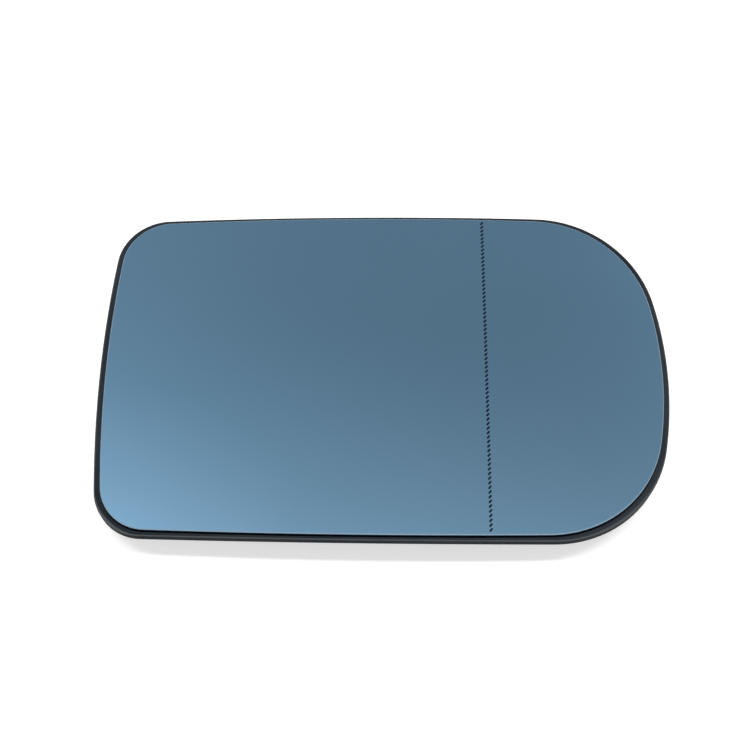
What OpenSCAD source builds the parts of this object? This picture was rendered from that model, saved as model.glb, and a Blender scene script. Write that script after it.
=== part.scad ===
// Door mirror glass: a blue convex mirror with an aspheric outer zone, bonded
// to a black moulded carrier plate that clips onto the mirror's adjuster.
// Millimetres. X runs from the door side to the outer side, Y up the mirror,
// Z out of the glass. The part lies on its back with the clip ring on Z = 0.

/* [Outline] */

// Overall width, from the door side to the outer side.
width = 176.35; // [160:0.05:190]
// Overall height, from the bottom edge to the top edge.
height = 109.55; // [100:0.05:118]
// Radius of the two corners on the outer side.
outer_corner_r = 37; // [30:0.5:44]
// Radius of the upper corner on the door side.
upper_corner_r = 16.2; // [10:0.1:22]
// Radius of the lower corner on the door side.
lower_corner_r = 15.1; // [10:0.1:22]
// How far each of the two sides bows out past its corners.
side_bow = 1.7; // [1:0.1:2.4]
// How far the bottom edge bows out past its corners.
bottom_bow = 0.4; // [0:0.1:1]
// How much lower the top edge is at the door side.
top_fall = 1.6; // [0:0.1:4]
// How much higher the bottom edge is at the door side.
bottom_rise = 1.2; // [0:0.1:4]
// Radii of the top edge, the door side, the bottom edge and the outer side.
edge_radii = [6000, 420, 2350, 123];

/* [Mirror] */

// Height of the front of the glass above the end of the clip ring.
front_height = 16.5; // [14:0.1:22]
// Radius of the convex main zone of the glass.
convex_radius = 1400; // [900:50:2400]
// Where the aspheric zone starts, measured from the ring's axis.
line_x = 31.23; // [20:0.01:50]
// Extra drop of the glass at its outer end, over the convex surface.
aspheric_drop = 1.35; // [0.4:0.05:3]

/* [Layers] */

// Glass thickness.
glass_t = 2.0; // [1.6:0.1:3]
// Heater film thickness.
film_t = 0.2; // [0.1:0.05:0.4]
// Foam adhesive thickness.
pad_t = 0.6; // [0.4:0.1:1.5]
// Bond line between two layers.
bond = 0.06; // [0:0.01:0.2]
// Wall of the carrier plate.
plate_t = 1.6; // [1.2:0.1:3]

/* [Rim] */

// How far the glass stands above the top of the rim.
glass_proud = 1.3; // [0:0.1:1.8]
// Distance from the glass to the rim's outer edge on the door side.
band_door = 2.0; // [1.2:0.05:3]
// The same on the outer side.
band_outer = 1.75; // [1.2:0.05:3]
// The same at the ends of the top and bottom edges.
band_long = 1.6; // [1.2:0.05:3]
// How much less it is in the middle of the top and bottom edges.
band_narrow = 0.25; // [0:0.05:0.4]
// How much smaller the glass's corner radii are than the rim's, anticlockwise
// from the upper outer corner.
corner_cuts = [0.5, 0.9, 0.5, -0.3];
// Gap between the glass's edge and the rim.
rim_gap = 0.3; // [0.1:0.05:0.9]
// How far the heater film's edge lies inside the glass's edge.
film_edge = 2.0; // [0.5:0.1:6]
// The same for the adhesive.
pad_edge = 1.2; // [0.5:0.1:6]

/* [Clip ring] */

// Outer radius of the ring that the part rests on.
ring_r = 33.0; // [28:0.5:40]
// Wall of that ring.
ring_wall = 2.0; // [1.5:0.1:3]
// Radius of the land inside the claws' hooks.
claw_land_r = 26.2; // [22:0.1:30]
// Length of that land along the axis.
claw_land = 2.0; // [1:0.1:4]
// Wall of the claws.
claw_wall = 1.8; // [1.2:0.1:3]
// Number of claws.
claw_count = 10; // [6:1:16]
// Width of the slot between two claws.
claw_slot = 4.0; // [2:0.5:8]
// How far the claws' ends stand back from the ring's end.
claw_back = 1.0; // [0:0.1:3]
// How far the hooks reach in from the claws.
hook = 0.9; // [0.4:0.1:1.5]
// Length of the slope that leads into the hooks, and of the step behind them.
hook_lead = 1.1; // [0.5:0.1:2]
// Height of the closed wall between the slots' ends and the plate.
claw_root = 1.6; // [1:0.1:3]

/* [Ribs] */

// Height of the ribs behind the plate.
rib_h = 2.6; // [1:0.1:5]
// Thickness of the ribs.
rib_t = 1.5; // [1:0.1:3]
// Number of ribs that run out from the ring.
rib_count = 12; // [6:1:24]
// Distance from the rim's outer edge to the outer rib.
rib_inset = 6; // [3:0.5:10]
// Distance from the window to the outside of the rib around it.
frame_reach = 3; // [2:0.1:5]
// How deep the ribs and the clip ring run into the plate.
rooted = 0.8; // [0.3:0.1:1]

/* [Heater terminals] */

// Distance from the door side's end to the middle of the window for the terminals.
window_in = 33; // [24:0.5:36]
// Window size in X and Y.
window = [18, 36];
// How far the adhesive stays back from the window.
pad_back_off = 1; // [0.5:0.1:3]
// Distance between the two blades.
blade_pitch = 17; // [12:0.5:24]
// Blade width, thickness and length, as a standard 6.3 mm tab.
blade = [6.3, 0.8, 8.5];
// Radius of the blade's latch hole.
latch_r = 0.85; // [0.5:0.05:1.2]
// Distance from the blade's end to the latch hole.
latch_in = 3; // [2:0.1:4]
// Size in X and Y of the foot that lies on the film.
foot = [12, 8];
// Distance from the foot's inner end to the rivet.
rivet_in = 4; // [3:0.1:6]
// Rivet shank radius.
rivet_r = 1.2; // [0.8:0.1:1.6]
// Gap around the shank.
rivet_gap = 0.05; // [0.02:0.01:0.2]
// Height of the rivet's head, and how far the shank reaches into it.
rivet_head = [0.6, 0.4];

/* [Dotted line] */

// Number of marks in the line.
mark_count = 73; // [40:1:100]
// Distance between two marks.
mark_pitch = 1.434; // [1:0.001:2]
// Length, width and thickness of a mark.
mark = [1.25, 0.58, 0.05];
// Slant of a mark from the X axis.
mark_slant = 50; // [0:1:90]

/* [Hidden] */

// Depths below the front of the glass, each measured along Z.
glass_back = -glass_t;
film_front = glass_back - bond;
film_back = film_front - film_t;
pad_front = film_back - bond;
pad_back = pad_front - pad_t;
plate_front = pad_back - bond;
plate_back = plate_front - plate_t;
rim_top = -glass_proud;
foot_back = film_back - blade[1];

// Columns run this far past the part, and layers run past the outline, so that
// no face of one lies in a face of another.
past = 5;
margin = 10.63;
// Length of the straight pieces that the curve along X is made of.
facet = 7.3;

// Middle of the window and of each terminal's foot, and where the blade stands.
window_at = [window_in - width / 2, 0];
foot_x = window_at[0] + 1;
blade_x = foot_x - foot[0] / 2;
rivet_x = foot_x + foot[0] / 2 - rivet_in;

// Corners as [x, y, radius], anticlockwise from the upper outer corner. The edges
// between them are the top, the door side, the bottom and the outer side.
side_x = width / 2 - side_bow;
rim_corners = [
    [side_x - outer_corner_r, height / 2 - outer_corner_r, outer_corner_r],
    [upper_corner_r - side_x, height / 2 - top_fall - upper_corner_r, upper_corner_r],
    [lower_corner_r - side_x, lower_corner_r + bottom_rise - height / 2, lower_corner_r],
    [side_x - outer_corner_r, outer_corner_r + bottom_bow - height / 2, outer_corner_r]];

// The glass keeps its band from the rim on each side, and has corners of its own.
glass_corners = [for (i = [0 : 3])
    let (c = rim_corners[i], cut = corner_cuts[i])
    [c[0] - sign(c[0]) * ((c[0] > 0 ? band_outer : band_door) - cut),
     c[1] - sign(c[1]) * (band_long - cut), c[2] - cut]];
glass_radii = [for (i = [0 : 3])
    let (span = rim_corners[i] - rim_corners[(i + 1) % 4], r = edge_radii[i])
    i % 2 == 0 ? 1 / (1 / r + 8 * band_narrow / (span[0] * span[0]))
               : r - (i == 1 ? band_door : band_outer)];

// The centre of the arc of radius r that encloses the discs a and b.
function arc_centre(a, b, r) =
    let (p = [a[0], a[1]], q = [b[0], b[1]], d = norm(q - p),
         ra = r - a[2], rb = r - b[2], x = (ra * ra - rb * rb + d * d) / (2 * d),
         h = sqrt(ra * ra - x * x), u = (q - p) / d)
    p + u * x + [-u[1], u[0]] * h;

function heading(from, to) = atan2(to[1] - from[1], to[0] - from[0]);
function ahead(a, b) = b < a ? ahead(a, b + 360) : b;

// Points on an arc, without its last one.
function arc_points(c, r, a0, a1, n) =
    [for (i = [0 : n - 1]) let (a = a0 + (a1 - a0) * i / n) c + r * [cos(a), sin(a)]];

// The closed outline of the corners and edges, moved inwards by inset.
function outline(corners, edges, inset = 0) =
    let (cen = [for (i = [0 : 3]) arc_centre(corners[i], corners[(i + 1) % 4], edges[i])],
         mid = [for (c = corners) [c[0], c[1]]],
         t0 = [for (i = [0 : 3]) heading(cen[(i + 3) % 4], mid[i])],
         t1 = [for (i = [0 : 3]) ahead(t0[i], heading(cen[i], mid[i]))],
         t2 = [for (i = [0 : 3]) ahead(t1[i], heading(cen[i], mid[(i + 1) % 4]))])
    [for (i = [0 : 3]) each concat(
        arc_points(mid[i], corners[i][2] - inset, t0[i], t1[i], ceil((t1[i] - t0[i]) / 5)),
        arc_points(cen[i], edges[i] - inset, t1[i], t2[i], 10))];

// Drop of the convex surface at x, with the aspheric zone's own drop beyond the line.
outer_x = width / 2 - band_outer;
function beyond(x) = max(0, x - line_x) / (outer_x - line_x);
function drop(x) = convex_radius - sqrt(convex_radius * convex_radius - x * x)
                   + aspheric_drop * pow(beyond(x), 3);

// A layer that follows the front of the glass, between two depths below it.
module layer(top, bottom) {
    half = width / 2 + margin;
    turn = 2 * asin((height / 2 + margin) / convex_radius);
    xs = [for (x = [-half : facet : half]) x];
    r0 = convex_radius;
    profile = concat(
        [for (x = xs) [r0 - drop(x) + top, x]],
        [for (i = [len(xs) - 1 : -1 : 0]) [r0 - drop(xs[i]) + bottom, xs[i]]]);
    translate([0, 0, front_height - r0])
        rotate([0, 90, 0])
            rotate([0, 0, 180 - turn / 2])
                rotate_extrude(angle = turn, $fn = 720)
                    polygon(profile);
}

// A flat shape stood up as a column that runs past the part at both ends.
module column() {
    translate([0, 0, -past])
        linear_extrude(height = front_height + 2 * past)
            children();
}

// A flat shape cut to a layer.
module in_layer(top, bottom) {
    intersection() {
        column()
            children();
        layer(top, bottom);
    }
}

module glass_outline(inset = 0) {
    polygon(outline(glass_corners, glass_radii, inset));
}

module rim_outline(inset = 0) {
    polygon(outline(rim_corners, edge_radii, inset));
}

module window_outline(grow = 0) {
    translate(window_at)
        square([window[0] + 2 * grow, window[1] + 2 * grow], center = true);
}

module mirror_glass() {
    color([0.28, 0.45, 0.58])
        in_layer(0, glass_back)
            glass_outline();
}

// One slanted mark after another, printed up the start of the aspheric zone.
module aspheric_line() {
    color([0.05, 0.07, 0.09])
        in_layer(mark[2], 0)
            for (i = [0 : mark_count - 1])
                translate([line_x, (i - (mark_count - 1) / 2) * mark_pitch])
                    rotate(mark_slant)
                        square([mark[0], mark[1]], center = true);
}

module rivet_holes(r) {
    for (s = [-1, 1])
        translate([rivet_x, window_at[1] + s * blade_pitch / 2])
            circle(r = r, $fn = 48);
}

module heater_film() {
    color([0.55, 0.50, 0.42])
        in_layer(film_front, film_back)
            difference() {
                glass_outline(film_edge);
                rivet_holes(rivet_r + rivet_gap);
            }
}

module adhesive_pad() {
    color([0.80, 0.80, 0.78])
        in_layer(pad_front, pad_back)
            difference() {
                glass_outline(pad_edge);
                window_outline(pad_back_off);
            }
}

// The tray that the glass lies in: a wall under it and a rim around it.
module tray() {
    difference() {
        in_layer(rim_top, plate_back)
            difference() {
                rim_outline();
                window_outline();
            }
        in_layer(past / 2, plate_front)
            glass_outline(-rim_gap);
    }
}

// Stop ring and, inside it, the claws that snap behind the adjuster's flange.
module clip_ring() {
    top = front_height + plate_back + rooted;
    slot_end = front_height + plate_back - claw_root;
    rotate_extrude($fn = 180)
        translate([ring_r - ring_wall, 0])
            square([ring_wall, top]);
    difference() {
        rotate_extrude($fn = 180)
            claw_section(top);
        for (i = [0 : claw_count - 1])
            rotate(360 / claw_count * (i + 0.5))
                translate([claw_land_r - past, -claw_slot / 2, -past])
                    cube([hook + claw_wall + 2 * past, claw_slot, slot_end + past]);
    }
}

module claw_section(top) {
    inner = claw_land_r + hook;
    outer = inner + claw_wall;
    low = claw_back + hook_lead;
    high = low + claw_land;
    polygon([[inner - hook / 9, claw_back], [outer - claw_wall / 5, claw_back],
             [outer, claw_back + claw_wall / 5], [outer, top], [inner, top],
             [inner, high + hook], [claw_land_r, high], [claw_land_r, low]]);
}

// A loop of rib that runs inside the rim.
module outer_rib() {
    difference() {
        rim_outline(rib_inset);
        rim_outline(rib_inset + rib_t);
    }
}

module window_rib() {
    difference() {
        window_outline(frame_reach);
        window_outline(frame_reach - rib_t);
    }
}

// One straight rib from the clip ring to the outer rib, which stops at the window's.
module spoke(i) {
    difference() {
        intersection() {
            rim_outline(rib_inset + rib_t / 3);
            rotate(360 / rib_count * (i + 0.5))
                translate([ring_r - ring_wall / 2, -rib_t / 2])
                    square([width, rib_t]);
        }
        window_outline(frame_reach - rib_t / 2);
    }
}

module rib_layer() {
    in_layer(plate_back + rooted, plate_back - rib_h)
        children();
}

module ribs() {
    rib_layer()
        outer_rib();
    rib_layer()
        window_rib();
    for (i = [0 : rib_count - 1])
        rib_layer()
            spoke(i);
}

module carrier_plate() {
    color([0.07, 0.07, 0.08]) {
        tray();
        ribs();
        clip_ring();
    }
}

// The terminals lie level with the film, which is nearly flat over the window.
function film_level(y) = front_height + film_back - drop(window_at[0]) - y * y / (2 * convex_radius);

module heater_terminal(side) {
    y = window_at[1] + side * blade_pitch / 2;
    z = film_level(y);
    color([0.75, 0.74, 0.70])
        difference() {
            union() {
                in_layer(film_back, foot_back)
                    translate([foot_x, y])
                        square(foot, center = true);
                translate([blade_x, y - blade[0] / 2, z - blade[2]])
                    cube([blade[1], blade[0], blade[2] - blade[1] / 2]);
            }
            translate([blade_x - blade[1], y, z - blade[2] + latch_in])
                rotate([0, 90, 0])
                    cylinder(r = latch_r, h = 3 * blade[1], $fn = 32);
            translate([rivet_x, y, z - past])
                cylinder(r = rivet_r + rivet_gap, h = 2 * past, $fn = 48);
        }
}

module terminal_rivet(side) {
    y = window_at[1] + side * blade_pitch / 2;
    color([0.72, 0.60, 0.32]) {
        in_layer(film_front, foot_back - rivet_head[1])
            translate([rivet_x, y])
                circle(r = rivet_r, $fn = 48);
        in_layer(foot_back, foot_back - rivet_head[0])
            translate([rivet_x, y])
                circle(r = 2 * rivet_r, $fn = 48);
    }
}

mirror_glass();
aspheric_line();
heater_film();
adhesive_pad();
carrier_plate();
heater_terminal(-1);  // heater_terminal_1
heater_terminal(1);  // heater_terminal_2
terminal_rivet(-1);  // terminal_rivet_1
terminal_rivet(1);  // terminal_rivet_2
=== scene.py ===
import math

import bmesh
import bpy
import numpy as np
from mathutils import Matrix, Vector


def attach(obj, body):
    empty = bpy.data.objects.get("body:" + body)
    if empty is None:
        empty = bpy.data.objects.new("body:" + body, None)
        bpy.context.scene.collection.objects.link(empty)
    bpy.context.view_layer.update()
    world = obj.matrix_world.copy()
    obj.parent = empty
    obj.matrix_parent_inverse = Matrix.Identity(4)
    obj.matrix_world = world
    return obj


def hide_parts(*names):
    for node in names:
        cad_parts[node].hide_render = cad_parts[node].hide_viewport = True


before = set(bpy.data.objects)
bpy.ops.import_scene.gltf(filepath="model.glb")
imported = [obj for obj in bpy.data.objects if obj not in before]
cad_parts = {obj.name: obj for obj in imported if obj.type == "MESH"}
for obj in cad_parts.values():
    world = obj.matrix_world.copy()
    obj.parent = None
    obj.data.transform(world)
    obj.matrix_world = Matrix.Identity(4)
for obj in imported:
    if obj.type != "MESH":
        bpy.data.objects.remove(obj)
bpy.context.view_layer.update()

# Camera.
# The photograph looks down on the mirror from just over a third of a metre, 24 degrees off
# the plate's normal towards its lower edge, with the part turned half a degree in the frame.
view_tilt = math.radians(24.0)
view_roll = math.radians(0.517)
view_distance = 0.375318
view_target = Vector((-0.002982, -0.003176, 0.0165))
focal_length_px = 1225.985
frame_px = 750
sensor_mm = 36.0

back = Vector((0.0, -math.sin(view_tilt), math.cos(view_tilt)))
right = Vector((1.0, 0.0, 0.0))
up = back.cross(right)
rolled_right = right * math.cos(view_roll) + up * math.sin(view_roll)
rolled_up = up * math.cos(view_roll) - right * math.sin(view_roll)
camera_data = bpy.data.cameras.new("camera")
camera_data.sensor_width = sensor_mm
camera_data.lens = focal_length_px * sensor_mm / frame_px
camera_data.clip_start = 0.01
camera_data.clip_end = 50.0
camera = bpy.data.objects.new("camera", camera_data)
turn = Matrix((rolled_right, rolled_up, back)).transposed().to_4x4()
camera.matrix_world = Matrix.Translation(view_target + back * view_distance) @ turn
bpy.context.scene.collection.objects.link(camera)
bpy.context.scene.camera = camera

# Carrier plate.
# A black plate moulded in one shot: a thin wall curved like the glass, and a bead round it
# that the glass sits in. Its face is finely grained, but polished on the bead's outer slope,
# which is wider round the two lower corners, and on its inner lip. The polished parts are
# also coloured a little lighter, as painted highlight.
MM = 0.001
width = 176.35
height = 109.55
outer_corner_r = 37.0
upper_corner_r = 16.2
lower_corner_r = 15.1
side_bow = 1.7
bottom_bow = 0.4
top_fall = 1.6
bottom_rise = 1.2
edge_radii = (6000.0, 420.0, 2350.0, 123.0)
band_door = 2.0
band_outer = 1.75
band_long = 1.6
band_narrow = 0.25
corner_cuts = (0.5, 0.9, 0.5, -0.3)
front_height = 16.5
convex_radius = 1400.0
line_x = 31.23
aspheric_drop = 1.35
plate_front = -2.98
plate_back = -4.58
rim_top = -1.3
rim_gap = 0.3
corner_steps = 28
edge_steps = 40

side_x = width / 2 - side_bow
rim_corners = (
    (side_x - outer_corner_r, height / 2 - outer_corner_r, outer_corner_r),
    (upper_corner_r - side_x, height / 2 - top_fall - upper_corner_r, upper_corner_r),
    (lower_corner_r - side_x, lower_corner_r + bottom_rise - height / 2, lower_corner_r),
    (side_x - outer_corner_r, outer_corner_r + bottom_bow - height / 2, outer_corner_r),
)


def glass_corner(corner, cut):
    """The rim's corner moved in by the bead's width, with a radius smaller by cut."""
    x, y, r = corner
    band = band_outer if x > 0 else band_door
    new_x = x - math.copysign(band - cut, x)
    new_y = y - math.copysign(band_long - cut, y)
    return (new_x, new_y, r - cut)


def glass_radius(i):
    """The radius of the glass's edge i: the long edges bow more, which narrows the bead there."""
    if i % 2:
        return edge_radii[i] - (band_door if i == 1 else band_outer)
    span = rim_corners[i][0] - rim_corners[(i + 1) % 4][0]
    return 1 / (1 / edge_radii[i] + 8 * band_narrow / span**2)


glass_corners = tuple(glass_corner(c, cut) for c, cut in zip(rim_corners, corner_cuts))
glass_radii = tuple(glass_radius(i) for i in range(4))


def arc_centre(a, b, r):
    """The centre of the arc of radius r that encloses the discs a and b."""
    p = np.array(a[:2])
    q = np.array(b[:2])
    d = np.linalg.norm(q - p)
    along = ((r - a[2]) ** 2 - (r - b[2]) ** 2 + d * d) / (2 * d)
    across = math.sqrt((r - a[2]) ** 2 - along**2)
    u = (q - p) / d
    return p + u * along + np.array([-u[1], u[0]]) * across


def heading(start, end):
    return math.atan2(end[1] - start[1], end[0] - start[0])


def outline(corners, radii, inset=0.0):
    """The closed outline in the plate's plane, moved inwards by inset."""
    mids = [np.array(c[:2]) for c in corners]
    centres = [arc_centre(corners[i], corners[(i + 1) % 4], radii[i]) for i in range(4)]
    points = []
    for i in range(4):
        a0 = heading(centres[i - 1], mids[i])
        a1 = heading(centres[i], mids[i])
        a2 = heading(centres[i], mids[(i + 1) % 4])
        a1 += 2 * math.pi * math.ceil((a0 - a1) / (2 * math.pi))
        a2 += 2 * math.pi * math.ceil((a1 - a2) / (2 * math.pi))
        for k in range(corner_steps):
            a = a0 + (a1 - a0) * k / corner_steps
            points.append(mids[i] + (corners[i][2] - inset) * np.array([math.cos(a), math.sin(a)]))
        for k in range(edge_steps):
            a = a1 + (a2 - a1) * k / edge_steps
            points.append(centres[i] + (radii[i] - inset) * np.array([math.cos(a), math.sin(a)]))
    return np.array(points)


def glass_line(inset=0.0):
    return outline(glass_corners, glass_radii, inset)


def rim_line(inset=0.0):
    return outline(rim_corners, edge_radii, inset)


def lifted(plan, depth):
    """Plan points brought onto the surface that lies depth below the front of the glass."""
    x = plan[:, 0]
    y = plan[:, 1]
    past = np.clip((x - line_x) / (width / 2 - band_outer - line_x), 0, None)
    drop = convex_radius - np.sqrt(convex_radius**2 - x**2) + aspheric_drop * past**3
    r = convex_radius - drop + depth
    z = front_height - convex_radius + np.sqrt(r**2 - y**2)
    return np.column_stack([x, y, z])


def face_outwards(mesh, merge=0.0):
    """Turns the mesh's faces outwards, after its points closer than merge are joined."""
    shape = bmesh.new()
    shape.from_mesh(mesh)
    if merge:
        bmesh.ops.remove_doubles(shape, verts=shape.verts, dist=merge)
    bmesh.ops.recalc_face_normals(shape, faces=shape.faces)
    shape.to_mesh(mesh)
    shape.free()


def ring_mesh(name, rings, sharp=(), close=True):
    """A mesh through rings of equal length, with a point at each end where close is true."""
    count = len(rings[0])
    points = [tuple(p * MM) for ring in rings for p in ring]
    faces = []
    for k in range(len(rings) - 1):
        for i in range(count):
            j = (i + 1) % count
            faces.append((k * count + i, k * count + j, (k + 1) * count + j, (k + 1) * count + i))
    if close:
        for ring, k in ((rings[0], 0), (rings[-1], len(rings) - 1)):
            middle = np.array(ring).mean(0)
            middle[2] = np.array(ring)[:, 2].max()
            points.append(tuple(middle * MM))
            for i in range(count):
                j = (i + 1) % count
                faces.append((k * count + i, k * count + j, len(points) - 1))
    mesh = bpy.data.meshes.new(name)
    mesh.from_pydata(points, [], faces)
    face_outwards(mesh)
    mesh.polygons.foreach_set("use_smooth", [True] * len(mesh.polygons))
    creases = set()
    for k in sharp:
        creases |= {frozenset((k * count + i, k * count + (i + 1) % count)) for i in range(count)}
    for edge in mesh.edges:
        if frozenset(edge.vertices) in creases:
            edge.use_edge_sharp = True
    return mesh


def add_piece(name, mesh, *materials):
    piece = bpy.data.objects.new(name, mesh)
    bpy.context.scene.collection.objects.link(piece)
    for material in materials:
        mesh.materials.append(material)
    return piece


def new_material(name):
    """A node material, with its tree's nodes, its links and its main shader."""
    material = bpy.data.materials.new(name)
    material.use_nodes = True
    tree = material.node_tree
    return material, tree.nodes, tree.links, tree.nodes["Principled BSDF"]


def toned(name, noise_scale, dark, bright, detail=2.0, ramp=(0.0, 1.0)):
    """A material whose colour drifts between two tones, with its shader and its noise."""
    material, nodes, links, shader = new_material(name)
    place = nodes.new("ShaderNodeTexCoord")
    noise = nodes.new("ShaderNodeTexNoise")
    noise.inputs["Scale"].default_value = noise_scale
    noise.inputs["Detail"].default_value = detail
    tone = nodes.new("ShaderNodeValToRGB")
    for element, position, colour in zip(tone.color_ramp.elements, ramp, (dark, bright)):
        element.position = position
        element.color = (*colour, 1)
    links.new(place.outputs["Object"], noise.inputs["Vector"])
    links.new(noise.outputs["Fac"], tone.inputs["Fac"])
    links.new(tone.outputs["Color"], shader.inputs["Base Color"])
    return material, shader, noise


def vary_roughness(shader, noise, least, most):
    tree = shader.id_data
    spread = tree.nodes.new("ShaderNodeMapRange")
    spread.inputs["To Min"].default_value = least
    spread.inputs["To Max"].default_value = most
    tree.links.new(noise.outputs["Fac"], spread.inputs["Value"])
    tree.links.new(spread.outputs["Result"], shader.inputs["Roughness"])


black_plastic, plastic, _ = toned(
    "moulded_black_plastic",
    noise_scale=38.0,
    dark=(0.010, 0.0135, 0.0175),
    bright=(0.020, 0.0245, 0.029),
    detail=3.0,
    ramp=(0.3, 0.7),
)
plastic.inputs["IOR"].default_value = 1.5
plastic.inputs["Specular IOR Level"].default_value = 0.06
nodes = black_plastic.node_tree.nodes
links = black_plastic.node_tree.links
place = nodes.new("ShaderNodeTexCoord")
grain = nodes.new("ShaderNodeTexNoise")
grain.inputs["Scale"].default_value = 2600.0
grain.inputs["Detail"].default_value = 2.0
links.new(place.outputs["Object"], grain.inputs["Vector"])
vary_roughness(plastic, grain, least=0.58, most=0.72)
grain_bump = nodes.new("ShaderNodeBump")
grain_bump.inputs["Strength"].default_value = 0.12
grain_bump.inputs["Distance"].default_value = 0.00004
links.new(grain.outputs["Fac"], grain_bump.inputs["Height"])
links.new(grain_bump.outputs["Normal"], plastic.inputs["Normal"])

# The polished plastic is coloured a little lighter than the grained plastic: painted highlight on the
# polished parts, on top of their real gloss.
polished_plastic_with_painted_highlight, polished, wear = toned(
    "polished_black_plastic_painted_highlight",
    noise_scale=160.0,
    dark=(0.014, 0.0185, 0.022),
    bright=(0.024, 0.0285, 0.032),
    detail=3.0,
    ramp=(0.3, 0.7),
)
polished.inputs["Specular IOR Level"].default_value = 0.5
vary_roughness(polished, wear, least=0.24, most=0.36)

# The bead's outer slope, how much wider and deeper it gets round the two lower corners, and
# the tilts in degrees between which it is polished.
crown_width = 0.7
crown_drop = 0.25
corner_width = 0.8
corner_drop = 0.3
shine_from = 9.0
shine_to = 60.0
shine_steps = 12
steep_tilts = (75.0, 90.0)
foot_round = 0.12
inner_round = 0.22
bead_fall = 0.25
lip_rows = 4
quarter = [math.radians(a) for a in (0, 15, 30, 45, 60, 75, 90)]

# The rings that fill the plate's face and back, as shares of their outlines.
disc_steps = [0.04, 0.12, 0.22, 0.32, 0.42, 0.52, 0.62, 0.72, 0.81, 0.89, 0.95]
floor_line = glass_line(-rim_gap)
plate_rings = [lifted(floor_line * s, plate_front) for s in disc_steps]
plate_rings.append(lifted(floor_line, plate_front))
floor_edge = len(plate_rings) - 1
for a in quarter:
    inset = -rim_gap - inner_round * (1 - math.cos(a))
    depth = rim_top - bead_fall - inner_round * (1 - math.sin(a))
    plate_rings.append(lifted(glass_line(inset), depth))
shiny_rows = list(range(len(plate_rings) - 1 - lip_rows, len(plate_rings) - 1))
at_corner = np.zeros((len(rim_corners), corner_steps + edge_steps))
at_corner[2:, :corner_steps] = np.sin(np.pi * np.arange(corner_steps) / corner_steps) ** 2
slope_width = crown_width + corner_width * at_corner.ravel()
slope_drop = crown_drop + corner_drop * at_corner.ravel()
inwards = rim_line(1.0) - rim_line()
for tilt in (0.0, *np.linspace(shine_from, shine_to, shine_steps), *steep_tilts):
    t = math.radians(tilt)
    a = np.arctan2(slope_drop * math.cos(t), slope_width * math.sin(t))
    inset = slope_width * (1 - np.cos(a))
    depth = rim_top - slope_drop * (1 - np.sin(a))
    if shine_from <= tilt < shine_to:
        shiny_rows.append(len(plate_rings))
    plate_rings.append(lifted(rim_line() + inset[:, None] * inwards, depth))
for a in quarter:
    inset = foot_round * (1 - math.cos(a))
    depth = plate_back + foot_round * (1 - math.sin(a))
    plate_rings.append(lifted(rim_line(inset), depth))
back_line = rim_line(foot_round)
for s in disc_steps[::-1]:
    plate_rings.append(lifted(back_line * s, plate_back))
plate_mesh = ring_mesh("carrier_plate_moulding", plate_rings, sharp=(floor_edge,))
carrier = add_piece("carrier_plate_moulding", plate_mesh, black_plastic, polished_plastic_with_painted_highlight)
ring_size = len(floor_line)
for face in plate_mesh.polygons:
    if face.index // ring_size in shiny_rows:
        face.material_index = 1

# Window for the heater's tabs.
# A rectangular hole with rounded corners, moulded through the plate beside the clip ring. The
# heater's two tabs stand in it, so that their leads push on from behind.
window_in = 33.0
window_x = window_in - width / 2
window_y = 0.0
window_w = 18.0
window_h = 36.0
window_round = 0.8
cutter_ends = (5.0, 15.5)


def made_plain(piece):
    """Turns the result of the piece's modifiers into its own plain mesh."""
    ready = piece.evaluated_get(bpy.context.evaluated_depsgraph_get())
    mesh = bpy.data.meshes.new_from_object(ready)
    piece.modifiers.clear()
    piece.data = mesh


def rounded_box(w, h, r, steps=6):
    """A rectangle with rounded corners round the origin, as plan points."""
    points = []
    for cx, cy, start in ((1, 1, 0), (-1, 1, 90), (-1, -1, 180), (1, -1, 270)):
        for k in range(steps + 1):
            a = math.radians(start + 90 * k / steps)
            x = cx * (w / 2 - r) + r * math.cos(a)
            y = cy * (h / 2 - r) + r * math.sin(a)
            points.append((x, y))
    return np.array(points)


window_plan = rounded_box(window_w, window_h, window_round) + np.array([window_x, window_y])
cutter_rings = [np.column_stack([window_plan, np.full(len(window_plan), z)]) for z in cutter_ends]
cutter = add_piece("window_cutter", ring_mesh("window_cutter", cutter_rings))
cut = carrier.modifiers.new("window", "BOOLEAN")
cut.operation = "DIFFERENCE"
cut.object = cutter
cut.solver = "EXACT"
made_plain(carrier)
bpy.data.objects.remove(cutter)
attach(carrier, "root")
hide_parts("carrier_plate")

# Ribs behind the plate.
# Thin stiffening ribs moulded with the plate: one loop inside the rim, a frame round the
# window, and spokes from the clip ring to the loop. They follow the plate's curve.
rib_h = 2.6
rib_t = 1.5
rib_count = 12
rib_inset = 6.0
frame_reach = 3.0
rib_round = 0.25
rib_step = 1.5
rooted = 0.8
frame_round = 1.0
ring_r = 33.0
ring_wall = 2.0

loop_line = rim_line(rib_inset + rib_t / 2)
frame_w = window_w + 2 * frame_reach - rib_t
frame_h = window_h + 2 * frame_reach - rib_t
window_frame = rounded_box(frame_w, frame_h, frame_round) + np.array([window_x, window_y])


def reach(angle):
    """How far from the axis the rib loop lies at that angle."""
    d = np.array([math.cos(angle), math.sin(angle)])
    side = loop_line @ np.array([-d[1], d[0]])
    ahead = loop_line @ d
    best = 0.0
    for i in range(len(loop_line)):
        j = (i + 1) % len(loop_line)
        if ahead[i] > 0 and side[i] * side[j] <= 0 and side[i] != side[j]:
            t = side[i] / (side[i] - side[j])
            best = ahead[i] + t * (ahead[j] - ahead[i])
    return best


def in_window(point):
    half = np.array([frame_w / 2, frame_h / 2])
    return bool(np.all(np.abs(point - np.array([window_x, window_y])) < half))


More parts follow.
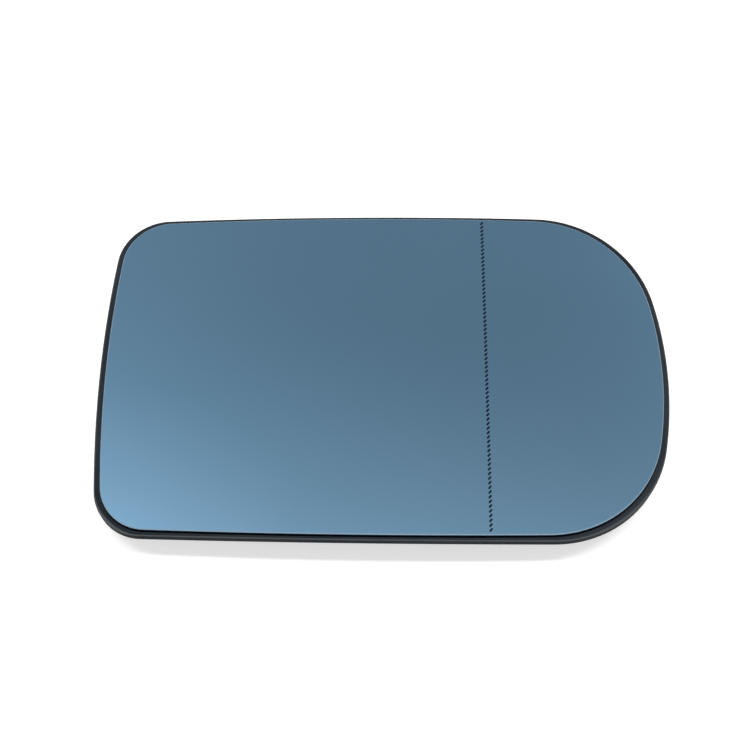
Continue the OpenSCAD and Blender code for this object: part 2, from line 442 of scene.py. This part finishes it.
rib_points = []
rib_edges = []
for path in (loop_line, window_frame):
    first = len(rib_points)
    rib_points += [(p[0] * MM, p[1] * MM, 0.0) for p in path]
    rib_edges += [(first + i, first + (i + 1) % len(path)) for i in range(len(path))]
for k in range(rib_count):
    angle = 2 * math.pi * (k + 0.5) / rib_count
    previous = None
    for distance in (*np.arange(ring_r - ring_wall / 2, reach(angle), rib_step), reach(angle)):
        point = np.array([math.cos(angle), math.sin(angle)]) * distance
        if in_window(point):
            previous = None
            continue
        rib_points.append((point[0] * MM, point[1] * MM, 0.0))
        if previous is not None:
            rib_edges.append((previous, len(rib_points) - 1))
        previous = len(rib_points) - 1
rib_paths_mesh = bpy.data.meshes.new("plate_ribs")
rib_paths_mesh.from_pydata(rib_points, rib_edges, [])
ribs = add_piece("plate_ribs", rib_paths_mesh)


def node_group(name, **inputs):
    """A Geometry Nodes tree with named inputs, and the identifier of each of them."""
    group = bpy.data.node_groups.new(name, "GeometryNodeTree")
    sockets = group.interface
    sockets.new_socket("Geometry", in_out="INPUT", socket_type="NodeSocketGeometry")
    keys = {}
    for label, (kind, value) in inputs.items():
        socket = sockets.new_socket(label, in_out="INPUT", socket_type=kind)
        if kind != "NodeSocketMaterial":
            socket.default_value = value
        keys[label] = socket.identifier
    sockets.new_socket("Geometry", in_out="OUTPUT", socket_type="NodeSocketGeometry")
    start = group.nodes.new("NodeGroupInput")
    end = group.nodes.new("NodeGroupOutput")
    return group, start, end, keys


def calculate(tree, operation, first, *others):
    """The output of Math nodes that take the values by one operation, from left to right."""
    result = first
    for other in others or (None,):
        node = tree.nodes.new("ShaderNodeMath")
        node.operation = operation
        for socket, value in zip(node.inputs, (result, other)):
            if isinstance(value, (int, float)):
                socket.default_value = value
            elif value is not None:
                tree.links.new(value, socket)
        result = node.outputs[0]
    return result


def surface_height(group, x, y, depth):
    """The height in metres of the surface that lies depth below the front of the glass."""
    big = convex_radius * MM
    length = (width / 2 - band_outer - line_x) * MM
    past = calculate(group, "MAXIMUM", calculate(group, "SUBTRACT", x, line_x * MM), 0.0)
    share = calculate(group, "POWER", calculate(group, "DIVIDE", past, length), 3.0)
    fall = calculate(group, "MULTIPLY", share, aspheric_drop * MM)
    level = calculate(group, "SUBTRACT", big * big, calculate(group, "MULTIPLY", x, x))
    level = calculate(group, "SUBTRACT", calculate(group, "SQRT", level), fall)
    r = calculate(group, "ADD", level, depth)
    rise = calculate(group, "MULTIPLY", r, r)
    rise = calculate(group, "SUBTRACT", rise, calculate(group, "MULTIPLY", y, y))
    return calculate(group, "ADD", calculate(group, "SQRT", rise), (front_height - convex_radius) * MM)


def on_surface(group, geometry, depth):
    """The geometry with its points raised onto the surface at that depth."""
    spot = group.nodes.new("GeometryNodeInputPosition")
    split = group.nodes.new("ShaderNodeSeparateXYZ")
    group.links.new(spot.outputs["Position"], split.inputs["Vector"])
    level = surface_height(group, split.outputs["X"], split.outputs["Y"], depth)
    joined = group.nodes.new("ShaderNodeCombineXYZ")
    group.links.new(split.outputs["X"], joined.inputs["X"])
    group.links.new(split.outputs["Y"], joined.inputs["Y"])
    group.links.new(level, joined.inputs["Z"])
    lift = group.nodes.new("GeometryNodeSetPosition")
    group.links.new(geometry, lift.inputs["Geometry"])
    group.links.new(joined.outputs["Vector"], lift.inputs["Position"])
    return lift.outputs["Geometry"]


def soft_rectangle(group, across, along, corner):
    """A rectangle with rounded corners, as a curve."""
    plain = group.nodes.new("GeometryNodeCurvePrimitiveQuadrilateral")
    group.links.new(across, plain.inputs["Width"])
    group.links.new(along, plain.inputs["Height"])
    soft = group.nodes.new("GeometryNodeFilletCurve")
    soft.mode = "POLY"
    soft.inputs["Count"].default_value = 3
    soft.inputs["Radius"].default_value = corner
    group.links.new(plain.outputs["Curve"], soft.inputs["Curve"])
    return soft.outputs["Curve"]


def finish_tree(group, start, end, geometry):
    """Ends the tree with the geometry made real and given its material."""
    whole = group.nodes.new("GeometryNodeRealizeInstances")
    group.links.new(geometry, whole.inputs["Geometry"])
    finish = group.nodes.new("GeometryNodeSetMaterial")
    group.links.new(whole.outputs["Geometry"], finish.inputs["Geometry"])
    group.links.new(start.outputs["Material"], finish.inputs["Material"])
    group.links.new(finish.outputs["Geometry"], end.inputs["Geometry"])


def grow(piece, group, keys, **values):
    """Runs the tree on the piece with these inputs and keeps the result as a plain mesh."""
    modifier = piece.modifiers.new(group.name, "NODES")
    modifier.node_group = group
    for label, value in values.items():
        modifier[keys[label]] = value
    made_plain(piece)


group, start, end, keys = node_group(
    "rib_sweep",
    Thickness=("NodeSocketFloat", rib_t * MM),
    Height=("NodeSocketFloat", (rib_h + rooted) * MM),
    Depth=("NodeSocketFloat", (plate_back + rooted / 2 - rib_h / 2) * MM),
    Material=("NodeSocketMaterial", None),
)
path = group.nodes.new("GeometryNodeMeshToCurve")
group.links.new(start.outputs["Geometry"], path.inputs["Mesh"])
raised = on_surface(group, path.outputs["Curve"], start.outputs["Depth"])
upright = group.nodes.new("GeometryNodeSetCurveNormal")
upright.mode = "Z_UP"
group.links.new(raised, upright.inputs["Curve"])
section = soft_rectangle(group, start.outputs["Thickness"], start.outputs["Height"], rib_round * MM)
sweep = group.nodes.new("GeometryNodeCurveToMesh")
sweep.inputs["Fill Caps"].default_value = True
group.links.new(upright.outputs["Curve"], sweep.inputs["Curve"])
group.links.new(section, sweep.inputs["Profile Curve"])
finish_tree(group, start, end, sweep.outputs["Mesh"])
grow(ribs, group, keys, Material=black_plastic)
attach(ribs, "root")

# Clip ring.
# Moulded behind the plate: a plain stop ring that the part rests on, and inside it spring
# claws with hooked ends, which snap behind the flange of the mirror's adjuster.
claw_land_r = 26.2
claw_land = 2.0
claw_wall = 1.8
claw_count = 10
claw_slot = 4.0
claw_back = 1.0
hook = 0.9
hook_lead = 1.1
root_round = 0.1
tip_round = 0.4
tip_middle = 0.1
lead_in = (0.08, 0.15)
ring_top = front_height + plate_back + rooted


def turned(name, section, steps=180):
    """A closed section of (radius, height) points, turned round the clip's axis."""
    rings = []
    for r, z in section + section[:1]:
        angles = np.arange(steps) * 2 * math.pi / steps
        rings.append(np.column_stack([r * np.cos(angles), r * np.sin(angles), np.full(steps, z)]))
    mesh = ring_mesh(name, rings, close=False)
    face_outwards(mesh, merge=1e-7)
    return mesh


stop_edge = 0.3
stop_middle = stop_edge * 0.3
crease_angle = 60.0
inner_r = ring_r - ring_wall
stop_section = [
    (ring_r, ring_top),
    (ring_r, stop_edge),
    (ring_r - stop_middle, stop_middle),
    (ring_r - stop_edge, 0.0),
    (inner_r + stop_edge, 0.0),
    (inner_r + stop_middle, stop_middle),
    (inner_r, stop_edge),
    (inner_r, ring_top),
]
stop_ring = add_piece("clip_stop_ring", turned("clip_stop_ring", stop_section), black_plastic)
stop_ring.data.set_sharp_from_angle(angle=math.radians(crease_angle))
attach(stop_ring, "root")

root_r = claw_land_r + hook
tip_r = root_r + claw_wall
land_foot = claw_back + hook_lead
land_top = land_foot + claw_land
step_top = land_top + hook
claw_section = [
    (root_r - root_round, claw_back),
    (tip_r - tip_round, claw_back),
    (tip_r - tip_middle, claw_back + tip_middle),
    (tip_r, claw_back + tip_round),
    (tip_r, ring_top),
    (root_r, ring_top),
    (root_r, step_top + root_round),
    (root_r - root_round, step_top - root_round / 2),
    (claw_land_r, land_top),
    (claw_land_r, land_foot),
    (claw_land_r + lead_in[0], land_foot - lead_in[1]),
]
half_claw = math.pi / claw_count - math.asin(claw_slot / 2 / ((root_r + tip_r) / 2))
claw_steps = 14
claw_angles = np.linspace(-half_claw, half_claw, claw_steps + 1)
claw_points = []
claw_faces = []
for a in claw_angles:
    claw_points += [(r * math.cos(a) * MM, r * math.sin(a) * MM, z * MM) for r, z in claw_section]
side = len(claw_section)
for k in range(claw_steps):
    for i in range(side):
        j = (i + 1) % side
        claw_faces.append((k * side + i, k * side + j, (k + 1) * side + j, (k + 1) * side + i))
claw_faces.append(tuple(range(side)))
claw_faces.append(tuple(range(claw_steps * side, (claw_steps + 1) * side)))
claw_mesh = bpy.data.meshes.new("clip_claw")
claw_mesh.from_pydata(claw_points, [], claw_faces)
face_outwards(claw_mesh)
one_claw = add_piece("clip_claw", claw_mesh)

group, start, end, keys = node_group(
    "claws_round_axis",
    Count=("NodeSocketInt", claw_count),
    Claw=("NodeSocketObject", None),
    Material=("NodeSocketMaterial", None),
)
row = group.nodes.new("GeometryNodeMeshLine")
row.inputs["Offset"].default_value = (0.0, 0.0, 0.0)
group.links.new(start.outputs["Count"], row.inputs["Count"])
number = group.nodes.new("GeometryNodeInputIndex")
step = calculate(group, "DIVIDE", 2 * math.pi, start.outputs["Count"])
bearing = calculate(group, "MULTIPLY", number.outputs["Index"], step)
turn_by = group.nodes.new("ShaderNodeCombineXYZ")
group.links.new(bearing, turn_by.inputs["Z"])
source = group.nodes.new("GeometryNodeObjectInfo")
group.links.new(start.outputs["Claw"], source.inputs["Object"])
copies = group.nodes.new("GeometryNodeInstanceOnPoints")
group.links.new(row.outputs["Mesh"], copies.inputs["Points"])
group.links.new(source.outputs["Geometry"], copies.inputs["Instance"])
group.links.new(turn_by.outputs["Vector"], copies.inputs["Rotation"])
finish_tree(group, start, end, copies.outputs["Instances"])
claws = add_piece("clip_claws", bpy.data.meshes.new("clip_claws"))
grow(claws, group, keys, Claw=one_claw, Material=black_plastic)
bpy.data.objects.remove(one_claw)
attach(claws, "root")

# Heater film, its tabs and the adhesive.
# The film is a sheet of amber polyester printed with a silver track. Its two tinned brass
# tabs are riveted on and stand in the window. White acrylic foam holds it all in the plate.
def refinish(name, look):
    """Gives a solid of the CAD model another material."""
    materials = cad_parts[name].data.materials
    materials.clear()
    materials.append(look)


film_look, nodes, links, film_shader = new_material("amber_heater_film")
film_shader.inputs["Roughness"].default_value = 0.3
place = nodes.new("ShaderNodeTexCoord")
track = nodes.new("ShaderNodeTexWave")
track.wave_type = "BANDS"
track.bands_direction = "Y"
track.inputs["Scale"].default_value = 75.0
track.inputs["Distortion"].default_value = 0.0
links.new(place.outputs["Object"], track.inputs["Vector"])
printed = nodes.new("ShaderNodeValToRGB")
printed.color_ramp.interpolation = "CONSTANT"
printed.color_ramp.elements[0].color = (0.28, 0.12, 0.03, 1)
printed.color_ramp.elements[1].position = 0.55
printed.color_ramp.elements[1].color = (0.52, 0.52, 0.50, 1)
links.new(track.outputs["Fac"], printed.inputs["Fac"])
links.new(printed.outputs["Color"], film_shader.inputs["Base Color"])
refinish("heater_film", film_look)

foam_look, nodes, links, foam_shader = new_material("white_acrylic_foam")
foam_shader.inputs["Roughness"].default_value = 0.85
place = nodes.new("ShaderNodeTexCoord")
cells = nodes.new("ShaderNodeTexVoronoi")
cells.inputs["Scale"].default_value = 2200.0
links.new(place.outputs["Object"], cells.inputs["Vector"])
foam_tone = nodes.new("ShaderNodeValToRGB")
foam_tone.color_ramp.elements[0].color = (0.55, 0.55, 0.53, 1)
foam_tone.color_ramp.elements[1].color = (0.74, 0.74, 0.71, 1)
links.new(cells.outputs["Distance"], foam_tone.inputs["Fac"])
links.new(foam_tone.outputs["Color"], foam_shader.inputs["Base Color"])
refinish("adhesive_pad", foam_look)


def sheet_metal(name, dark, bright, roughness, swing=0.06):
    """Pressed metal with a faint rolling grain along Z."""
    material, shader, rolling = toned(name, 3000.0, dark, bright)
    nodes = material.node_tree.nodes
    links = material.node_tree.links
    shader.inputs["Metallic"].default_value = 1.0
    place = rolling.inputs["Vector"].links[0].from_socket
    stretch = nodes.new("ShaderNodeMapping")
    stretch.inputs["Scale"].default_value = (1.0, 1.0, 0.08)
    links.new(place, stretch.inputs["Vector"])
    links.new(stretch.outputs["Vector"], rolling.inputs["Vector"])
    vary_roughness(shader, rolling, least=roughness - swing, most=roughness + swing)
    return material


tinned = sheet_metal("tinned_brass", (0.52, 0.51, 0.48), (0.68, 0.67, 0.63), 0.32)
rivet_brass = sheet_metal("rivet_brass", (0.50, 0.36, 0.13), (0.70, 0.52, 0.22), 0.28)
for k in (1, 2):
    refinish(f"heater_terminal_{k}", tinned)
    refinish(f"terminal_rivet_{k}", rivet_brass)

# Mirror glass.
# Two millimetres of blue-coated glass, bent to a convex surface that falls away faster at
# its outer end. Its edges are ground all round, which shows as a pale frosted line.
glass_back = -2.0
ground_band = 0.3
ground_fall = 0.22
ground_slant = 0.06
side_start = 0.08
back_bevel = 0.2
outer_steps = [0.975, 0.99, 1.0]
mirror_look, mirror_shader, coating = toned(
    "blue_mirror",
    noise_scale=14.0,
    dark=(0.193, 0.376, 0.556),
    bright=(0.203, 0.388, 0.574),
    ramp=(0.3, 0.7),
)
mirror_shader.inputs["Metallic"].default_value = 1.0
vary_roughness(mirror_shader, coating, least=0.015, most=0.03)

ground_look, ground_shader, _ = toned(
    "ground_glass_edge",
    noise_scale=1500.0,
    dark=(0.17, 0.26, 0.35),
    bright=(0.25, 0.37, 0.47),
    detail=4.0,
)
ground_shader.inputs["Roughness"].default_value = 0.4
ground_shader.inputs["Metallic"].default_value = 0.7

# The glass's sides and back are coloured very dark navy: partly the glass's own blue, partly painted
# shade of the narrow gap between the glass and the bead.
side_and_gap_shade_look, side_shader, _ = toned(
    "glass_side",
    noise_scale=900.0,
    dark=(0.002, 0.010, 0.030),
    bright=(0.006, 0.018, 0.045),
)
side_shader.inputs["Roughness"].default_value = 0.25

front_line = glass_line(ground_band)
glass_rings = [lifted(front_line * s, 0.0) for s in disc_steps + outer_steps]
front_edge = len(glass_rings) - 1
glass_rings.append(lifted(glass_line(ground_slant), -ground_fall))
glass_rings.append(lifted(glass_line(), -ground_fall - side_start))
ground_edge = len(glass_rings) - 1
glass_rings.append(lifted(glass_line(), glass_back + back_bevel))
glass_rings.append(lifted(glass_line(back_bevel), glass_back))
back_edge = len(glass_rings) - 1
glass_rings += [lifted(glass_line(back_bevel) * s, glass_back) for s in disc_steps[::-1]]
glass_mesh = ring_mesh("mirror_glass_blue", glass_rings, sharp=(front_edge, ground_edge, back_edge))
glass = add_piece("mirror_glass_blue", glass_mesh, mirror_look, ground_look, side_and_gap_shade_look)
ring_size = len(front_line)
front_middle = len(glass_rings) - 1
for face in glass_mesh.polygons:
    row_of = face.index // ring_size
    if front_edge <= row_of < ground_edge:
        face.material_index = 1
    elif row_of >= ground_edge and row_of != front_middle:
        face.material_index = 2
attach(glass, "root")
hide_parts("mirror_glass")

# Dotted line.
# Short slanted marks of dark ink, printed one above another from edge to edge, where the
# convex zone ends and the aspheric zone starts.
mark_count = 73
mark_pitch = 1.434
mark_l = 1.25
mark_w = 0.58
mark_t = 0.05
mark_slant = 50.0
mark_round = 0.16
ink_lift = 0.002
weld = 0.001
ink, ink_shader, _ = toned(
    "line_ink",
    noise_scale=2500.0,
    dark=(0.002, 0.005, 0.010),
    bright=(0.005, 0.010, 0.017),
)
ink_shader.inputs["Roughness"].default_value = 0.45
ink_shader.inputs["Specular IOR Level"].default_value = 0.08

group, start, end, keys = node_group(
    "marks_on_glass",
    Count=("NodeSocketInt", mark_count),
    Pitch=("NodeSocketFloat", mark_pitch * MM),
    Length=("NodeSocketFloat", mark_l * MM),
    Width=("NodeSocketFloat", mark_w * MM),
    Thickness=("NodeSocketFloat", mark_t * MM),
    Slant=("NodeSocketFloat", math.radians(mark_slant)),
    Place=("NodeSocketFloat", line_x * MM),
    Material=("NodeSocketMaterial", None),
)
steps = calculate(group, "SUBTRACT", start.outputs["Count"], 1.0)
lowest = calculate(group, "MULTIPLY", steps, start.outputs["Pitch"], -0.5)
first_spot = group.nodes.new("ShaderNodeCombineXYZ")
group.links.new(start.outputs["Place"], first_spot.inputs["X"])
group.links.new(lowest, first_spot.inputs["Y"])
spacing = group.nodes.new("ShaderNodeCombineXYZ")
group.links.new(start.outputs["Pitch"], spacing.inputs["Y"])
row = group.nodes.new("GeometryNodeMeshLine")
group.links.new(start.outputs["Count"], row.inputs["Count"])
group.links.new(first_spot.outputs["Vector"], row.inputs["Start Location"])
group.links.new(spacing.outputs["Vector"], row.inputs["Offset"])
bar = soft_rectangle(group, start.outputs["Length"], start.outputs["Width"], mark_round * MM)
face = group.nodes.new("GeometryNodeFillCurve")
group.links.new(bar, face.inputs["Curve"])
slanted = group.nodes.new("ShaderNodeCombineXYZ")
group.links.new(start.outputs["Slant"], slanted.inputs["Z"])
copies = group.nodes.new("GeometryNodeInstanceOnPoints")
group.links.new(row.outputs["Mesh"], copies.inputs["Points"])
group.links.new(face.outputs["Mesh"], copies.inputs["Instance"])
group.links.new(slanted.outputs["Vector"], copies.inputs["Rotation"])
flat = group.nodes.new("GeometryNodeRealizeInstances")
group.links.new(copies.outputs["Instances"], flat.inputs["Geometry"])
underside = on_surface(group, flat.outputs["Geometry"], ink_lift * MM)
thicken = group.nodes.new("GeometryNodeExtrudeMesh")
thicken.inputs["Individual"].default_value = False
group.links.new(underside, thicken.inputs["Mesh"])
group.links.new(start.outputs["Thickness"], thicken.inputs["Offset Scale"])
facing_down = group.nodes.new("GeometryNodeFlipFaces")
group.links.new(underside, facing_down.inputs["Mesh"])
both = group.nodes.new("GeometryNodeJoinGeometry")
group.links.new(thicken.outputs["Mesh"], both.inputs["Geometry"])
group.links.new(facing_down.outputs["Mesh"], both.inputs["Geometry"])
merged = group.nodes.new("GeometryNodeMergeByDistance")
merged.inputs["Distance"].default_value = weld * MM
group.links.new(both.outputs["Geometry"], merged.inputs["Geometry"])
finish_tree(group, start, end, merged.outputs["Geometry"])
marks = add_piece("aspheric_line_marks", bpy.data.meshes.new("aspheric_line_marks"))
grow(marks, group, keys, Material=ink)
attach(marks, "root")
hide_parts("aspheric_line")

# Studio.
# A white floor with one soft lamp high behind the part, which throws a short shadow towards
# the viewer, and a pale surround that the glass reflects, brightest low down on the left.
floor_mesh = bpy.data.meshes.new("floor")
floor_half = 3.0

# The floor glows a little to the eye, and more further out, where the lamp's light falls off.
near_glow = 0.55
far_glow = 1.0
glow_from = 0.3
glow_to = 1.2
floor_points = [(x * floor_half, y * floor_half, 0) for x, y in ((-1, -1), (1, -1), (1, 1), (-1, 1))]
floor_mesh.from_pydata(floor_points, [], [(0, 1, 2, 3)])
floor = add_piece("floor", floor_mesh)
floor_look = bpy.data.materials.new("white_floor")
floor_look.use_nodes = True
nodes = floor_look.node_tree.nodes
links = floor_look.node_tree.links
nodes.clear()
out = nodes.new("ShaderNodeOutputMaterial")
matte = nodes.new("ShaderNodeBsdfDiffuse")
matte.inputs["Color"].default_value = (0.55, 0.55, 0.545, 1)
glow = nodes.new("ShaderNodeEmission")
glow.inputs["Color"].default_value = (1, 1, 1, 1)
plus = nodes.new("ShaderNodeAddShader")
place = nodes.new("ShaderNodeTexCoord")
away = nodes.new("ShaderNodeVectorMath")
away.operation = "LENGTH"
fade = nodes.new("ShaderNodeMapRange")
fade.inputs["From Min"].default_value = glow_from
fade.inputs["From Max"].default_value = glow_to
fade.inputs["To Min"].default_value = near_glow
fade.inputs["To Max"].default_value = far_glow
ray = nodes.new("ShaderNodeLightPath")
links.new(place.outputs["Object"], away.inputs[0])
links.new(away.outputs["Value"], fade.inputs["Value"])
seen = calculate(floor_look.node_tree, "MULTIPLY", fade.outputs["Result"], ray.outputs["Is Camera Ray"])
links.new(seen, glow.inputs["Strength"])
links.new(matte.outputs[0], plus.inputs[0])
links.new(glow.outputs[0], plus.inputs[1])
links.new(plus.outputs[0], out.inputs["Surface"])
floor_mesh.materials.append(floor_look)

world = bpy.data.worlds.new("studio")
bpy.context.scene.world = world
world.use_nodes = True
sky = world.node_tree
nodes = sky.nodes
links = sky.links
nodes.clear()
out = nodes.new("ShaderNodeOutputWorld")
direction = nodes.new("ShaderNodeTexCoord")
towards = nodes.new("ShaderNodeSeparateXYZ")
links.new(direction.outputs["Generated"], towards.inputs["Vector"])


def held(value, least, most):
    return calculate(sky, "MINIMUM", calculate(sky, "MAXIMUM", value, least), most)


def excess(high, low):
    """How far high is above low, or nothing where it is below."""
    return calculate(sky, "MAXIMUM", calculate(sky, "SUBTRACT", high, low), 0.0)


def background(strength=None):
    """A white background, of strength 1 where none is given."""
    light = nodes.new("ShaderNodeBackground")
    light.inputs["Color"].default_value = (1, 1, 1, 1)
    light.inputs["Strength"].default_value = 1.0
    if strength is not None:
        links.new(strength, light.inputs["Strength"])
    return light


def choose(kind, others, these):
    """One background for rays of that kind, and another for all others."""
    ray = nodes.new("ShaderNodeLightPath")
    mix = nodes.new("ShaderNodeMixShader")
    links.new(ray.outputs[kind], mix.inputs["Fac"])
    links.new(others.outputs[0], mix.inputs[1])
    links.new(these.outputs[0], mix.inputs[2])
    return mix


# The surround's brightness over the directions that the glass reflects, held level outside them.
west_end = -0.36
east_end = 0.45
north_end = 0.52
patch_east = -0.1
patch_north = 0.38
surround_level = 1.408
surround_cap = 1.1
warmth_rate = 8.0
east = held(towards.outputs["X"], west_end, east_end)
north = held(towards.outputs["Y"], 0.0, north_end)
far_west = excess(patch_east, east)
low_down = excess(patch_north, north)
slopes = (
    (east, -0.80),
    (north, -3.90),
    (east, east, 0.65),
    (east, north, 1.345),
    (north, north, 3.88),
    (far_west, low_down, 4.8),
)
rises = [calculate(sky, "MULTIPLY", *slope) for slope in slopes]
level = calculate(sky, "ADD", rises[0], surround_level, *rises[1:])
level = calculate(sky, "MINIMUM", level, surround_cap)
warmth = nodes.new("ShaderNodeMix")
warmth.data_type = "RGBA"
warmth.inputs["A"].default_value = (1, 1, 1, 1)
warmth.inputs["B"].default_value = (1, 0.97, 0.95, 1)
links.new(calculate(sky, "MULTIPLY", low_down, warmth_rate), warmth.inputs["Factor"])

# Brighter patches high up, past the left end and at both corners on the viewer's side, give
# the bead its highlights. The light that reaches dull surfaces is stronger there too.
glint_edge = -0.42
glint_height = 0.25
glint_strength = 3.0
corner_strength = 4.0
fill_level = 0.5
corner_fill = 0.8
past_west = excess(glint_edge, towards.outputs["X"])
overhead = excess(towards.outputs["Z"], glint_height)
near_side = excess(0.0, towards.outputs["Y"])
sideways = calculate(sky, "ABSOLUTE", towards.outputs["X"])
near_corners = calculate(sky, "MULTIPLY", sideways, near_side)
glint = calculate(sky, "MULTIPLY", past_west, overhead, glint_strength)
corner_glint = calculate(sky, "MULTIPLY", near_corners, overhead, corner_strength)
surround = background(calculate(sky, "ADD", level, glint, corner_glint))
links.new(warmth.outputs["Result"], surround.inputs["Color"])
more_fill = calculate(sky, "MULTIPLY", near_corners, corner_fill)
fill_light = background(calculate(sky, "ADD", more_fill, fill_level))
unseen = choose("Is Glossy Ray", fill_light, surround)
whole_sky = choose("Is Camera Ray", unseen, background())
links.new(whole_sky.outputs[0], out.inputs["Surface"])

key_light = bpy.data.lights.new("key", "AREA")
key_light.shape = "RECTANGLE"
key_light.size = 1.2
key_light.size_y = 0.12
key_light.energy = 13.0
key = bpy.data.objects.new("key", key_light)
key.location = (0.0, 0.13, 0.95)
key.rotation_euler = key.location.to_track_quat("Z", "Y").to_euler()
key.visible_glossy = False
bpy.context.scene.collection.objects.link(key)
bpy.context.scene.view_settings.view_transform = "Standard"
